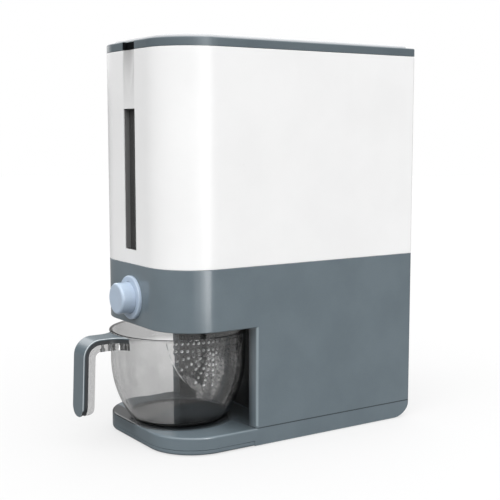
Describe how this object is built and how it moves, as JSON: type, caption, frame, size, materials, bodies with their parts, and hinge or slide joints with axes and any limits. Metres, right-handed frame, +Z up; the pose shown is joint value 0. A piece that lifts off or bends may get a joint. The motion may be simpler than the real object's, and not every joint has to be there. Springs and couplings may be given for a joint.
{
  "type": "rice dispenser",
  "caption": "Countertop rice dispenser: a white reservoir with a hinged lid on a grey base, a push button that opens the outlet, and a clear cup that slides out of the bay.",
  "frame": {"origin": "on the ground, under the middle of the overall length from the cup's handle to the lid's hinge, and midway across", "axes": "+Z up, -Y the front with the button and the cup's handle, +X to the right as seen from the front"},
  "size_m": [0.164, 0.3508, 0.384],
  "materials": {
    "white_abs": "fine satin moulding",
    "white_panel": "gloss moulding",
    "grey_abs": "satin moulding",
    "grey_strap": "satin moulding",
    "smoked_window": "smoked clear styrene",
    "clear_cup": "polished clear plastic",
    "clear_handle": "polished clear plastic",
    "button_blue": "satin moulding",
    "dark_rubber": "matt",
    "seal_rubber": "matt silicone",
    "inner_white": "moulded",
    "gate_grey": "moulded",
    "steel": "zinc plated"
  },
  "bodies": {
    "body": {"reservoir_shell": "white_abs", "view_window": "smoked_window", "window_gasket": "dark_rubber", "hinge_pins": "steel", "base_housing": "grey_abs", "bottom_cover": "grey_abs", "cover_screws": "steel", "feet": "dark_rubber", "hopper": "inner_white", "gate_guide": "inner_white", "gate_screws": "steel", "button_bezel": "button_blue", "bezel_nut": "gate_grey", "return_spring": "steel"},
    "lid": {"lid_frame": "grey_abs", "lid_panel": "white_panel", "lid_grip": "dark_rubber", "lid_seal": "seal_rubber"},
    "button": {"button_cap": "button_blue", "button_stem": "gate_grey", "stem_clip": "steel", "stem_screw": "steel", "gate_slide": "gate_grey"},
    "cup": {"measuring_cup": "clear_cup", "handle_core": "clear_handle", "handle_strap": "grey_strap", "handle_screws": "steel"}
  },
  "joints": [
    {"name": "lid_hinge", "type": "hinge", "parent": "body", "child": "lid", "pos_m": [0, 0.1709, 0.3733], "axis": [-1, 0, 0], "range_deg": [0, 105]},
    {"name": "button_press", "type": "slide", "parent": "body", "child": "button", "axis": [0, 1, 0], "range_m": [0, 0.011], "stiffness_N_per_m": 350, "springref_m": -0.006, "deforming": ["return_spring"]},
    {"name": "cup_slide", "type": "slide", "parent": "body", "child": "cup", "axis": [0, -1, 0], "range_m": [0, 0.2]}
  ]
}
